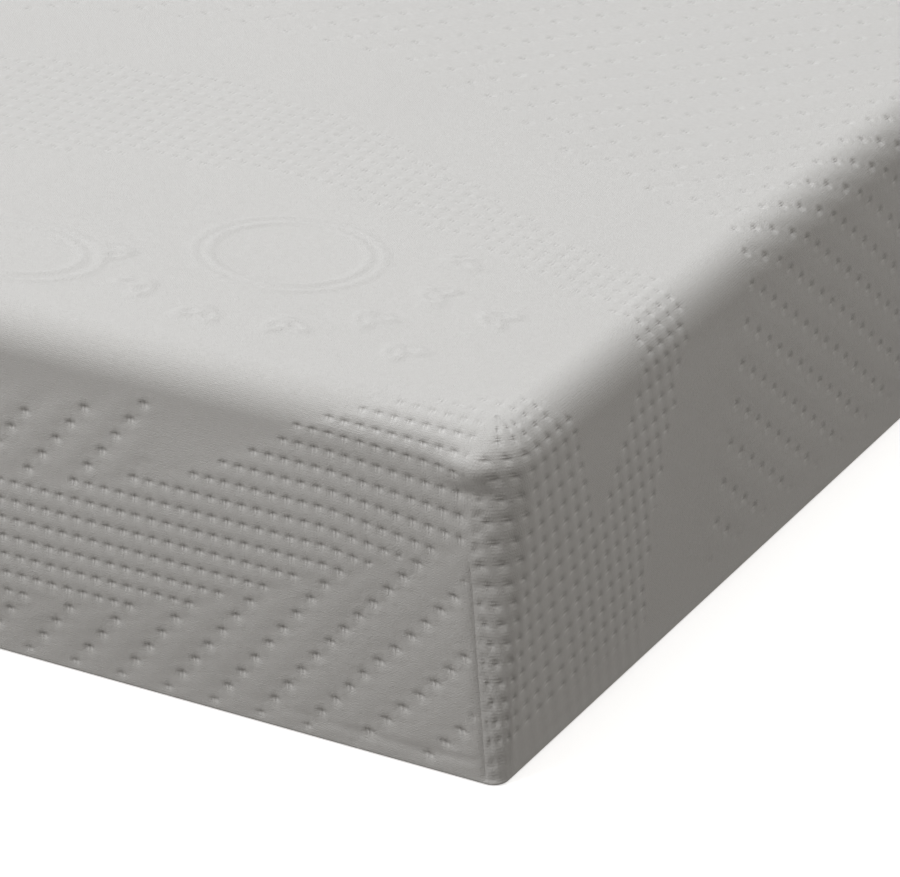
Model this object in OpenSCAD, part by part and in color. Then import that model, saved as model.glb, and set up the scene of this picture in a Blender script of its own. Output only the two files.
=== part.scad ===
// Single mattress: a reflex foam core under a memory foam layer, in a stretch sock and a knitted cover
// whose base panel zips on along one end. X is the width, Y the length, Z up, and the origin is the
// centre of the underside.

/* [Mattress] */
// Overall width, across the sleeper
mattress_w = 900; // [600:10:1600]
// Overall length, head to foot
mattress_l = 1900; // [1200:10:2100]
// Overall depth, underside to sleeping surface
mattress_h = 150; // [130:5:250]
// Radius of the soft top edge, and of the upright corners
edge_r = 18; // [17:1:24]
// Thickness of the memory foam layer
memory_t = 25; // [15:1:50]

/* [Cover] */
// Thickness of the knitted top and sides
cover_t = 2.5; // [2:0.1:2.5]
// Thickness of the base panel
base_t = 2; // [1.5:0.1:2]
// Thickness of the stretch sock round the foam
sock_t = 1; // [0.6:0.1:1.4]
// Thickness of an overlocked seam, folded flat inside the cover
seam_t = 1.6; // [1:0.1:1.6]
// Width of the overlocked seam at each upright corner
seam_w = 6; // [4:0.5:6]
// Height at which the corner seams start under the sleeping surface
dart_top_drop = 56; // [36:1:60]

/* [Zip] */
// Distance from each side of the mattress to the zip's last tooth
zip_margin = 70; // [60:1:150]
// Height of the zip's centre line above the underside
zip_z = 15; // [14:0.5:16]
// Height of one row of coil
coil_w = 2.65; // [2:0.05:2.65]
// Thickness of the coil
coil_t = 2; // [1.6:0.1:2]
// Thickness of the zip tape
tape_t = 0.8; // [0.5:0.1:0.8]
// Length of the slider
slider_l = 13; // [11:0.5:14]
// Height of the slider across the coils
slider_w = 11; // [11:0.5:12]
// Length of the pull tab from its hinge
pull_l = 30; // [24:1:36]
// Width of the pull tab
pull_w = 8; // [7:0.5:9]

/* [Label] */
// Width of the care label
label_w = 38; // [25:1:50]
// Height of the care label
label_h = 55; // [40:1:70]

/* [Hidden] */
$fn = 96;
eps = 0.01;

// Room between one textile and the next
slack = 0.3;
// The sock's outer face stands this far inside the cover's outer face
sock_inset = cover_t + slack;
foam_inset = sock_t + slack;
sock_r = edge_r - sock_inset - slack;
// The filling steps in round its foot, where the seam that joins sides and base lies
foot_h = 10;
foot_inset = seam_t;
sock_floor = base_t + slack;
memory_floor = mattress_h - sock_inset - foam_inset - memory_t;
// The corner seams lie flat on a chord of the cover's inner corner
seam_top = mattress_h - dart_top_drop;
seam_face_r = sqrt(pow(edge_r - cover_t - slack / 3, 2) - pow(seam_w / 2, 2));
seam_relief_r = seam_face_r - seam_t - slack;
seam_relief_w = 2 * edge_r;

// Planes of the zip, counted inwards from the mattress's end face
hem_t = 2 * cover_t;
end_y = mattress_l / 2;
tape_face_y = end_y - hem_t;
coil_face_y = tape_face_y + coil_t;
plate_t = 1.1;
plate_gap = 0.3;
back_plate_y = tape_face_y - tape_t - plate_gap - plate_t;
front_plate_y = coil_face_y + plate_gap;
// Openings and lengths of the zip
chain_half = mattress_w / 2 - zip_margin;
stop_l = 3;
stop_gap = 3;
opening_half = chain_half + stop_l + stop_gap;
tape_overlap = 6;
tape_half = opening_half + tape_overlap;
// The window round the chain reaches this far above and below the zip's centre line
window_reach = 8;
upstand_h = zip_z - window_reach;
hem_z = zip_z + window_reach;
hem_fold_h = 10;
coil_slit = 1.3;
// The filling gives way behind the zip
relief_y = back_plate_y - 0.5;
relief_top = hem_z + hem_fold_h + 2;
relief_half = tape_half + 8;
// Rows of stitching beside the window
stitch_t = 0.25;
stitch_w = 0.5;
stitch_inset = 3;
stitch_half = opening_half - 2;
// The base seam runs out into the hem this far before the end with the zip
seam_run_out = 60;

// Slider and pull tab; the slider rests just short of the closed end's stop
slider_x = chain_half - slider_l / 2 - 0.5;
web_l = 4;
web_t = 0.9;
flange_t = 1;
flange_gap = 0.4;
pull_t = 1;
pivot_y = end_y + plate_gap + pull_t / 2;
pivot_r = 0.5;
pivot_play = 0.06;
eye_r = 1.1;
eye_w = 3.6;
lug_t = 1.1;
lug_gap = 0.2;
pull_hole_r = 1.6;
neck_l = 3.5;
neck_root = 1;

// Care label, counted from the head end and up from the underside
label_t = 0.4;
label_z = 14;
label_from_end = 150;

// Outline in plan, w by l, with corners of radius r
module rounded_plan(w, l, r) {
    square([w - 2 * r, l], center = true);
    square([w, l - 2 * r], center = true);
    for (side = [-1, 1], end = [-1, 1])
        translate([side * (w / 2 - r), end * (l / 2 - r)]) circle(r);
}

// Block w by l by h whose upright corners and top edge are all rounded to radius r
module rounded_block(w, l, h, r) {
    linear_extrude(h - r) rounded_plan(w, l, r);
    linear_extrude(h) square([w - 2 * r, l - 2 * r], center = true);
    translate([0, 0, h - r])
        for (side = [-1, 1]) {
            translate([side * (w / 2 - r), 0, 0])
                rotate([90, 0, 0]) cylinder(h = l - 2 * r, r = r, center = true);
            translate([0, side * (l / 2 - r), 0])
                rotate([0, 90, 0]) cylinder(h = w - 2 * r, r = r, center = true);
            for (end = [-1, 1])
                translate([side * (w / 2 - r), end * (l / 2 - r), 0]) sphere(r);
        }
}

// Box from one x to another, one y to another and one z to another
module span(x, y, z) {
    translate([x[0], y[0], z[0]]) cube([x[1] - x[0], y[1] - y[0], z[1] - z[0]]);
}

// Places its children on the upright axis of one rounded corner, with X pointing out of the corner
module at_corner(side, end) {
    translate([side * (mattress_w / 2 - edge_r), end * (mattress_l / 2 - edge_r), 0])
        rotate([0, 0, atan2(end, side)]) children();
}

// Everything inside the cover, shrunk by inset: the sock's outside at 0, the foam at foam_inset
module filling(inset) {
    reach = 2 * (sock_inset + inset);
    foot = 2 * (sock_inset + foot_inset + inset);
    difference() {
        union() {
            translate([0, 0, foot_h + inset])
                rounded_block(mattress_w - reach, mattress_l - reach,
                    mattress_h - sock_inset - foot_h - 2 * inset, sock_r - inset);
            translate([0, 0, sock_floor + inset])
                linear_extrude(foot_h - sock_floor + eps)
                    rounded_plan(mattress_w - foot, mattress_l - foot, sock_r - inset);
        }
        span([-relief_half - inset, relief_half + inset], [relief_y - inset, end_y], [0, relief_top + inset]);
        for (side = [-1, 1], end = [-1, 1])
            at_corner(side, end)
                span([seam_relief_r - inset, 2 * edge_r], [-seam_relief_w / 2, seam_relief_w / 2],
                    [0, seam_top + 1 + inset]);
    }
}

module reflex_core() {
    color("gold")
        intersection() {
            filling(foam_inset);
            span([-mattress_w, mattress_w], [-mattress_l, mattress_l], [0, memory_floor]);
        }
}

module memory_foam_layer() {
    color("lightyellow")
        intersection() {
            filling(foam_inset);
            span([-mattress_w, mattress_w], [-mattress_l, mattress_l], [memory_floor, mattress_h]);
        }
}

module inner_sock() {
    color("ivory")
        difference() {
            filling(0);
            filling(sock_t);
        }
}

// Knitted top and four sides, open below, with a hem folded back round the zip
module cover_shell() {
    color("gainsboro") {
        difference() {
            rounded_block(mattress_w, mattress_l, mattress_h, edge_r);
            translate([0, 0, -eps])
                rounded_block(mattress_w - 2 * cover_t, mattress_l - 2 * cover_t,
                    mattress_h - cover_t + eps, edge_r - cover_t);
            span([-opening_half, opening_half], [end_y - 2 * cover_t, end_y + 1], [-1, hem_z]);
        }
        difference() {
            span([-tape_half, tape_half], [tape_face_y, end_y - cover_t], [base_t, hem_z + hem_fold_h]);
            span([-opening_half, opening_half], [tape_face_y - 1, end_y], [0, hem_z]);
        }
    }
}

// Flat base panel with a folded upstand that carries the lower zip tape
module cover_base() {
    color("dimgray") {
        linear_extrude(base_t)
            rounded_plan(mattress_w - 2 * cover_t, mattress_l - 2 * cover_t, edge_r - cover_t);
        span([-opening_half, opening_half], [tape_face_y, end_y], [0, upstand_h]);
    }
}

// Overlocked seam of one upright corner, folded flat against the inside of the cover
module corner_seam(side, end) {
    color("white")
        at_corner(side, end)
            span([seam_face_r - seam_t, seam_face_r], [-seam_w / 2, seam_w / 2], [foot_h, seam_top]);
}

// Overlocked seam that joins sides and base along both sides and the foot end
module base_overlock_seam() {
    color("white")
        translate([0, 0, base_t])
            linear_extrude(foot_h - base_t)
                intersection() {
                    difference() {
                        rounded_plan(mattress_w - 2 * cover_t, mattress_l - 2 * cover_t, edge_r - cover_t);
                        rounded_plan(mattress_w - 2 * cover_t - 2 * seam_t,
                            mattress_l - 2 * cover_t - 2 * seam_t, edge_r - cover_t - seam_t);
                    }
                    translate([-mattress_w, -mattress_l])
                        square([2 * mattress_w, mattress_l + end_y - seam_run_out]);
                }
}

// Woven tape of one half of the zip; side is 1 above the chain and -1 below it
module zip_tape(side) {
    inner = zip_z + side * coil_slit / 2;
    outer = side > 0 ? hem_z + hem_fold_h : base_t + slack;
    color("darkgray")
        span([-tape_half, tape_half], [tape_face_y - tape_t, tape_face_y],
            [min(inner, outer), max(inner, outer)]);
}

// Coil of one half of the zip, as the plain bar that its turns fill
module zip_coil(side) {
    inner = zip_z + side * coil_slit / 2;
    outer = inner + side * coil_w;
    color("gray")
        span([-chain_half, chain_half], [tape_face_y, coil_face_y],
            [min(inner, outer), max(inner, outer)]);
}

// Crimped stop at one end of the chain
module zip_stop(end) {
    near = end * chain_half;
    far = end * (chain_half + stop_l);
    reach = coil_slit / 2 + coil_w;
    color("silver")
        span([min(near, far), max(near, far)], [tape_face_y, coil_face_y], [zip_z - reach, zip_z + reach]);
}

// Row of lockstitch that holds one tape, as one thread along the cloth
module zip_stitching(height) {
    color("whitesmoke")
        span([-stitch_half, stitch_half], [end_y, end_y + stitch_t], [height, height + stitch_w]);
}

// Slider: two plates joined by a web between the coils, with flanges, two lugs and the hinge pin
module zip_slider() {
    x = [slider_x - slider_l / 2, slider_x + slider_l / 2];
    z = [zip_z - slider_w / 2, zip_z + slider_w / 2];
    lug_far = eye_w / 2 + lug_gap + lug_t;
    color("silver") {
        span(x, [back_plate_y, back_plate_y + plate_t], z);
        span(x, [front_plate_y, front_plate_y + plate_t], z);
        span([x[1] - web_l, x[1]], [back_plate_y + eps, front_plate_y + eps],
            [zip_z - web_t / 2, zip_z + web_t / 2]);
        for (side = [-1, 1]) {
            edge = zip_z + side * slider_w / 2;
            inner = edge - side * flange_t;
            span(x, [tape_face_y + flange_gap, front_plate_y + eps], [min(edge, inner), max(edge, inner)]);
            translate([slider_x, 0, zip_z + side * (lug_far - lug_t / 2)]) {
                translate([0, pivot_y, 0]) cylinder(h = lug_t, r = eye_r, center = true);
                translate([-eye_r, front_plate_y + plate_t - eps, -lug_t / 2])
                    cube([2 * eye_r, pivot_y - front_plate_y - plate_t + eps, lug_t]);
            }
        }
        translate([slider_x, pivot_y, zip_z]) cylinder(h = 2 * lug_far - eps, r = pivot_r, center = true);
    }
}

// Pull tab with a rolled eye round the slider's pin; at rest it lies along the closed chain
module zip_pull_tab() {
    end_r = pull_w / 2;
    color("silver")
        translate([slider_x, pivot_y, zip_z])
            difference() {
                union() {
                    cylinder(h = eye_w, r = eye_r, center = true);
                    span([-neck_l - neck_root, 0], [-pull_t / 2, pull_t / 2], [-eye_w / 2, eye_w / 2]);
                    span([end_r - pull_l, -neck_l], [-pull_t / 2, pull_t / 2], [-pull_w / 2, pull_w / 2]);
                    translate([end_r - pull_l, 0, 0])
                        rotate([90, 0, 0]) cylinder(h = pull_t, r = end_r, center = true);
                }
                cylinder(h = eye_w + 1, r = pivot_r + pivot_play, center = true);
                translate([end_r - pull_l, 0, 0])
                    rotate([90, 0, 0]) cylinder(h = pull_t + 1, r = pull_hole_r, center = true);
            }
}

// Blank satin care label on the left side, near the head end
module care_label() {
    label_y = end_y - label_from_end;
    color("white")
        span([-mattress_w / 2 - label_t, -mattress_w / 2], [label_y, label_y + label_w],
            [label_z, label_z + label_h]);
}

reflex_core();
memory_foam_layer();
inner_sock();
cover_shell();
cover_base();
corner_seam(1, -1);  // corner_seam_front_right
corner_seam(-1, -1);  // corner_seam_front_left
corner_seam(1, 1);  // corner_seam_back_right
corner_seam(-1, 1);  // corner_seam_back_left
base_overlock_seam();
zip_tape(1);  // zip_tape_upper
zip_tape(-1);  // zip_tape_lower
zip_coil(1);  // zip_coil_upper
zip_coil(-1);  // zip_coil_lower
zip_stop(1);  // zip_stop_closed_end
zip_stop(-1);  // zip_stop_open_end
zip_stitching(hem_z + stitch_inset);  // zip_stitching_upper
zip_stitching(upstand_h - stitch_inset);  // zip_stitching_lower
zip_slider();
zip_pull_tab();
care_label();
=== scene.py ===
# Memory foam mattress in a dimpled knit cover. Cloth and shape are worked out in millimetres, and
# every Blender mesh is made in metres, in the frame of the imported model.
import math

import bpy
import numpy as np
from mathutils import Matrix, Vector


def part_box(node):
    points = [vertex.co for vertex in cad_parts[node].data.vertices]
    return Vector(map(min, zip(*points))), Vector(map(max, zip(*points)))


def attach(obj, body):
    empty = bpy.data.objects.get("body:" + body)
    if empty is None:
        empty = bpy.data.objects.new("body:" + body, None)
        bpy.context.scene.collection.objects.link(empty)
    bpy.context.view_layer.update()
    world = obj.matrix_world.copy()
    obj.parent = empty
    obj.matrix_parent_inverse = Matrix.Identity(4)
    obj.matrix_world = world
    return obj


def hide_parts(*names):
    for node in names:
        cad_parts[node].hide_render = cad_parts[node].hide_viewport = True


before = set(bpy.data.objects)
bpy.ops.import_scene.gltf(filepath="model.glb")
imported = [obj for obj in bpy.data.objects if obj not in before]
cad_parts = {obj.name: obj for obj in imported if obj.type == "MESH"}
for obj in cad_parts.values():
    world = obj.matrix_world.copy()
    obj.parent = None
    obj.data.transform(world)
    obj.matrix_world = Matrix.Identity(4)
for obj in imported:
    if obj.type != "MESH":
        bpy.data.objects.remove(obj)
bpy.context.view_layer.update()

MM = 0.001
TAU = 2 * math.pi


def node_box(node):
    """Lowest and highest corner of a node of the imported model, in millimetres."""
    low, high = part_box(node)
    return np.array(low) / MM, np.array(high) / MM


# Size of the cover, and of the zip's parts
COVER_LOW, COVER_HIGH = node_box("cover_shell")
WIDTH = COVER_HIGH[0] - COVER_LOW[0]
LENGTH = COVER_HIGH[1] - COVER_LOW[1]
HEIGHT = COVER_HIGH[2]
COIL_LOW, COIL_HIGH = node_box("zip_coil_lower")
UPPER_COIL_LOW, UPPER_COIL_HIGH = node_box("zip_coil_upper")
STITCH_LOW, STITCH_HIGH = node_box("zip_stitching_upper")
LOWER_STITCH_LOW = node_box("zip_stitching_lower")[0]
TAPE_LOW, TAPE_HIGH = node_box("zip_tape_upper")
LOWER_TAPE_LOW, LOWER_TAPE_HIGH = node_box("zip_tape_lower")
LABEL_LOW, LABEL_HIGH = node_box("care_label")

# Shape of the cover
EDGE_R = 18.0          # top edge, and upright corners at half height and above
TIP_R = 7.0            # upright corners at the floor
TIP_H = 95.0           # height up to which the corners tighten towards the tip
SPREAD_L = 40.0        # length over which the faces stretch into the tighter corners
TURN_R = 1.5           # turn of the cloth under the lower edge
UNDER_L = 4.0          # cloth under the mattress, up to the base panel's seam
BULGE = 1.2            # how far each side stands out between its edges
DART_TOP = 94.0        # height at which a corner dart ends
TUCK_Z = 134.0         # height of the small puff of cloth over a dart's end
HEM_FACE = 3.0         # from the zip's stitching down to the edge of the fold
UPSTAND_FACE = 3.0     # from the lower stitching up to the edge of the upstand
OPENING_END = 2.0      # from the last stitch to the end of the zip's opening
LIP_R = 1.5            # roll of the folded cloth round the zip

# The opening that the zip closes, in the head end
OPEN_X = STITCH_HIGH[0] + OPENING_END
OPEN_TOP = STITCH_LOW[2] - HEM_FACE
OPEN_FOOT = LOWER_STITCH_LOW[2] + UPSTAND_FACE
HEM_DEPTH = LENGTH / 2 - TAPE_HIGH[1]

# Stitch pattern of the knit: spacing of the stitches across and along the cloth
PITCH_ACROSS = 6.85
PITCH_ALONG = 9.2
PITCH_DOWN_LONG = 8.3  # down the two long sides, where the cloth is pulled
PITCH_DOWN_END = 8.1   # down the two ends
SIDE_DEPTH = 0.02      # how much deeper the tight stitches sink on the sides than on the top
CELLS_ACROSS = 4       # mesh cells in one stitch
CELLS_ALONG = 5
COARSE = 1

# Wavy bands of close stitches, one after the other along the cloth
BAND_FIRST = -2
BAND_LAST = 9
BAND_START = 150.0
BAND_LAG = 181.0       # from an odd band up to the even band over it
PAIR_STEP = 560.0      # from one pair of bands to the next
BAND_SWING = 65.0
EDGE_LEAD = 20.0       # extra rise of a band where it runs over the right edge
WAVE_L = 700.0
CREST = -230.0
FRINGE = 35.0          # depth of the sparse stitches over an odd band
OPEN_EYE = 230.0       # eyes taller than this have the fringe
BELT = 60.0            # plain belt over an even band
MOTIF_V = BAND_START - BAND_LAG / 2


# ---------------------------------------------------------------- cloth pattern

def smooth(low, high, x):
    t = np.clip((x - low) / (high - low), 0, 1)
    return t * t * (3 - 2 * t)


def bell(x, width):
    return np.exp(-(x / width) ** 2)


def band(n, u):
    """Middle line and half width of wavy band n at u across the cloth."""
    phase = TAU / WAVE_L
    swing = BAND_SWING * np.cos(phase * (u - CREST))
    if n % 2 == 0:
        lead = EDGE_LEAD * bell(u - 10, 75)
        return BAND_START + PAIR_STEP * n / 2 + swing + lead, 40 - 21 * np.cos(phase * (u + 50))
    swell = 5 * bell(u + 50, 70)
    return (BAND_START - BAND_LAG + PAIR_STEP * (n + 1) / 2 - swing + swell,
            37 - 11 * np.cos(phase * (u + 200)) + swell)


def bands(u, v):
    """How far inside a band each point is, how far over the band below it, whether that band is even, and the
    room between the bands."""
    inside = np.full(u.shape, -1e3)
    over = np.full(u.shape, 1e3)
    under = np.full(u.shape, 1e3)
    even = np.zeros(u.shape, bool)
    for n in range(BAND_FIRST, BAND_LAST):
        middle, half = band(n, u)
        inside = np.maximum(inside, half - np.abs(v - middle))
        rise = v - middle - half
        nearer = (rise > 0) & (rise < over)
        over = np.where(nearer, rise, over)
        even = np.where(nearer, n % 2 == 0, even)
        drop = middle - half - v
        under = np.where((drop > 0) & (drop < under), drop, under)
    return inside, over, even, over + under


def stitched(u, v, i, j):
    """Which stitches are pulled tight: in the close bands, and in the sparse diagonals between them."""
    inside, over, even, room = bands(u, v)
    close = inside > 0
    diagonal = np.mod(i - j, 3) == 0
    sparse = np.where(even, over > BELT, (over < FRINGE) & (room > OPEN_EYE))
    return close, ~close & diagonal & sparse


def oval(x, y, half_x, half_y):
    """Distance from an oval's outline, near it."""
    reach = np.hypot(x / half_x, y / half_y)
    return (reach - 1) * min(half_x, half_y)


def motif(u, v):
    """Raised outlines in the plain eyes: two double ovals and a ring of small leaf pairs."""
    x = np.mod(u - CREST + WAVE_L / 2, WAVE_L) - WAVE_L / 2
    y = np.mod(v - MOTIF_V + PAIR_STEP / 2, PAIR_STEP) - PAIR_STEP / 2
    height = np.zeros(u.shape)
    for centre_x, centre_y, half_x, half_y in ((72, 51, 33, 31), (-28, -4, 33, 24)):
        away = oval(x - centre_x, y - centre_y, half_x, half_y)
        height += bell(away, 1.4) + 0.8 * bell(away - 6, 1.3)
    leaves = [(-150 + 29 * k, 65) for k in range(7)] + [(-36 + 28 * k, 97) for k in range(3)]
    for angle, reach in leaves:
        turn = math.radians(angle)
        leaf_x = 72 + reach * math.cos(turn)
        leaf_y = 51 + reach * math.sin(turn)
        for lean in (-0.6, 0.6):
            cos_l = math.cos(turn + lean)
            sin_l = math.sin(turn + lean)
            along = (x - leaf_x) * cos_l + (y - leaf_y) * sin_l
            across = (y - leaf_y) * cos_l - (x - leaf_x) * sin_l
            away = oval(along - 6, across, 6.5, 3.2)
            height += bell(away, 1.2)
    return np.minimum(height, 1)


def side_pull(u, v):
    """Where on the unpulled cloth each point lies: the sides pull it askew and down to the corners."""
    down_u = np.maximum(u, 0) - np.minimum(u + WIDTH, 0)
    down_v = np.maximum(v - LENGTH, 0) - np.minimum(v, 0)
    lean_v = 0.34 * np.cos(math.pi * np.clip(v / LENGTH, 0, 1)) * down_u
    lean_u = 0.125 * np.cos(math.pi * np.clip(u / WIDTH, -1, 0)) * down_v
    to_corner_v = np.minimum(np.abs(v), np.abs(v - LENGTH))
    to_corner_u = np.minimum(np.abs(u), np.abs(u + WIDTH))
    slump_u = 0.085 * np.clip(80 - to_corner_v, 0, 80) * np.minimum(down_u / 60, 1)
    slump_v = 0.14 * np.clip(80 - to_corner_u, 0, 80) * np.minimum(down_v / 60, 1)
    across = u - lean_u - np.where(u > 0, slump_u, 0) + np.where(u < -WIDTH, slump_u, 0)
    along = v - lean_v + np.where(v < 0, slump_v, 0) - np.where(v > LENGTH, slump_v, 0)
    return across, along


def stitch_numbers(u, v):
    """Number of the stitch across and along the cloth, and the spacing there."""
    across, along = side_pull(u, v)
    over_u = np.maximum(across, 0) + np.minimum(across + WIDTH, 0)
    over_v = np.minimum(along, 0) + np.maximum(along - LENGTH, 0)
    i = np.clip(across, -WIDTH, 0) / PITCH_ACROSS + over_u / PITCH_DOWN_LONG
    j = np.clip(along, 0, LENGTH) / PITCH_ALONG + over_v / PITCH_DOWN_END
    pitch_u = np.where((u > 0) | (u < -WIDTH), PITCH_DOWN_LONG, PITCH_ACROSS)
    pitch_v = np.where((v < 0) | (v > LENGTH), PITCH_DOWN_END, PITCH_ALONG)
    return i, j, pitch_u, pitch_v


def relief(u, v):
    """Height of the quilted knit, its stitch numbers, and whether the nearest stitch is pulled tight, as a
    strength that is weaker on the top than on the sides; the material uses it for the stitch's bump, its
    painted shade and its painted highlight.
    """
    i, j, pitch_u, pitch_v = stitch_numbers(u, v)
    off_u = (i - np.round(i)) * pitch_u
    off_v = (j - np.round(j)) * pitch_v
    close, sparse = stitched(u - off_u, v - off_v, np.round(i), np.round(j))
    inside, over, even, room = bands(u, v)
    filled = smooth(-3, 5, inside)
    fringe = smooth(FRINGE + 8, FRINGE - 4, over) * smooth(OPEN_EYE - 6, OPEN_EYE + 6, room)
    strung = np.where(even, smooth(BELT - 8, BELT + 8, over), fringe) * smooth(0, -8, inside)
    puff = filled * (0.5 - 0.15 * np.cos(TAU * i) - 0.35 * np.cos(TAU * j))
    low_edge = smooth(1, 7, floor_gap(u, v))
    close_pit = close * bell(off_u, 1.5) * bell(off_v, 2.0) * low_edge
    sparse_pit = sparse * bell(off_u, 1.7) * bell(off_v, 2.2) * low_edge
    ring = sparse * bell(np.hypot(off_u, off_v) - 4.0, 2.0) * low_edge
    plain = smooth(-6, -14, inside)
    lines = motif(u, v) * plain
    over_edge = np.maximum(np.maximum(u, -WIDTH - u), np.maximum(-v, v - LENGTH))
    on_side = smooth(-EDGE_R, EDGE_R, over_edge)
    valley = strung * low_edge * np.cos(TAU * (i - j) / 3)
    height = 0.35 * puff + 0.25 * ring + 0.85 * lines - (0.1 + 0.1 * on_side) * valley
    height = height - (0.42 + SIDE_DEPTH * on_side) * close_pit - (0.62 + SIDE_DEPTH * on_side) * sparse_pit
    # The last value sets how deep the material sinks each tight stitch and how strongly it paints shade into
    # it and highlights onto its strands.
    return height, i, j, (close | sparse) * low_edge * (0.45 + 0.55 * on_side)


def floor_gap(u, v):
    """Distance up from the lower edge; stitches fade out higher up on the long sides."""
    long_side = HEIGHT - np.maximum(u, -WIDTH - u) - 14
    end_side = HEIGHT - np.maximum(-v, v - LENGTH)
    return np.minimum(long_side, end_side)


# ---------------------------------------------------------------- shape of the cover

def edge_roll(depth):
    """Place of the cloth at a depth over the top edge: out from the side's plane, down from the top, and the
    angle that it has turned. The flat top ends at -EDGE_R and the flat side begins at EDGE_R."""
    angle = np.clip((depth + EDGE_R) / (2 * EDGE_R), 0, 1) * math.pi / 2
    out = EDGE_R * np.sin(angle) - EDGE_R + np.minimum(depth + EDGE_R, 0)
    down = EDGE_R - EDGE_R * np.cos(angle) + np.maximum(depth - EDGE_R, 0)
    return out, down, angle


def corner_radius(z):
    return TIP_R + (EDGE_R - TIP_R) * np.clip(z / TIP_H, 0, 1)


def settle(x, y):
    """Slow unevenness of the top and sides, where the foam isn't quite flat."""
    return (0.45 * np.sin(x / 83 + 1.3) * np.sin(y / 117 + 0.4) + 0.3 * np.sin((x + y) / 61)
            + 0.25 * np.sin((x - 1.7 * y) / 43 + 2.1))


def stations(start, stop, step):
    """Even stations from start to stop that fall on whole steps, with both ends kept."""
    step = step * COARSE
    first = math.ceil(start / step + 0.35)
    last = math.floor(stop / step - 0.35)
    return np.concatenate(([start], np.arange(first, last + 1) * step, [stop]))


def with_marks(values, marks):
    """Adds exact stations and drops the ones that lie too close to them."""
    near = np.min(np.abs(values[:, None] - np.array(marks)[None, :]), axis=1)
    return np.sort(np.concatenate((values[near > 0.45], marks)))


def end_marks(half):
    """Closer stations beside a dart seam."""
    close = half - np.array([0.0, 0.7, 1.4, 2.2, 3.1, 4.2, 5.4])
    return list(close) + list(-close)


HALF_ACROSS = WIDTH / 2 - EDGE_R
HALF_ALONG = LENGTH / 2 - EDGE_R
LIP_X = OPEN_X + LIP_R
ACROSS = with_marks(stations(-HALF_ACROSS - WIDTH / 2, HALF_ACROSS - WIDTH / 2, PITCH_ACROSS / CELLS_ACROSS)
                    + WIDTH / 2, end_marks(HALF_ACROSS) + [-LIP_X, LIP_X])
ALONG = with_marks(stations(LENGTH / 2 - HALF_ALONG, LENGTH / 2 + HALF_ALONG, PITCH_ALONG / CELLS_ALONG)
                   - LENGTH / 2, end_marks(HALF_ALONG))
ARC = np.linspace(0, math.pi / 2, 20 // COARSE + 1)

# Each side: half its length, how far out it stands, its outward direction, and its direction along
SIDES = {
    "front": {"half": WIDTH / 2, "reach": LENGTH / 2, "out": (0, -1), "along": (1, 0)},
    "back": {"half": WIDTH / 2, "reach": LENGTH / 2, "out": (0, 1), "along": (1, 0)},
    "right": {"half": LENGTH / 2, "reach": WIDTH / 2, "out": (1, 0), "along": (0, 1)},
    "left": {"half": LENGTH / 2, "reach": WIDTH / 2, "out": (-1, 0), "along": (0, 1)},
}


def cloth_place(side, along, depth):
    """Cloth coordinates of a point of a side: u across from the right edge, v along from the foot edge."""
    if side == "front":
        return along - WIDTH / 2, -depth
    if side == "back":
        return along - WIDTH / 2, LENGTH + depth
    if side == "right":
        return depth, along + LENGTH / 2
    return -WIDTH - depth, along + LENGTH / 2


def face_rows(depths):
    """Rows of a side from the top edge down, as offsets from the side's plane."""
    out, down, angle = edge_roll(depths)
    return {"depth": depths, "out": out, "z": HEIGHT - down, "n_out": np.sin(angle), "n_up": np.cos(angle)}


def under_rows():
    """Rows that turn under the lower edge and run in to the base seam."""
    turn = np.linspace(0, math.pi / 2, 5)[1:]
    run = np.array([UNDER_L / 2, UNDER_L])
    return {
        "depth": HEIGHT - TURN_R + np.concatenate((turn * TURN_R, turn[-1] * TURN_R + run)),
        "out": np.concatenate((TURN_R * (np.cos(turn) - 1), -TURN_R - run)),
        "z": np.concatenate((TURN_R * (1 - np.sin(turn)), np.zeros(2))),
        "n_out": np.concatenate((np.cos(turn), np.zeros(2))),
        "n_up": np.concatenate((-np.sin(turn), -np.ones(2))),
    }


def joined(first, second):
    return {key: np.concatenate((first[key], second[key])) for key in first}


def columns(side, straight):
    """Columns of a side: straight ones, and on the long sides the turns round both corners as well."""
    if side in ("front", "back"):
        return {"a": straight, "theta": np.zeros(len(straight)), "end": np.zeros(len(straight))}
    half = SIDES[side]["half"] - EDGE_R
    turn = ARC[1:]
    return {
        "a": np.concatenate((np.full(len(turn), -half), straight, np.full(len(turn), half))),
        "theta": np.concatenate((turn[::-1], np.zeros(len(straight)), turn)),
        "end": np.concatenate((-np.ones(len(turn)), np.zeros(len(straight)), np.ones(len(turn)))),
    }


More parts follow.
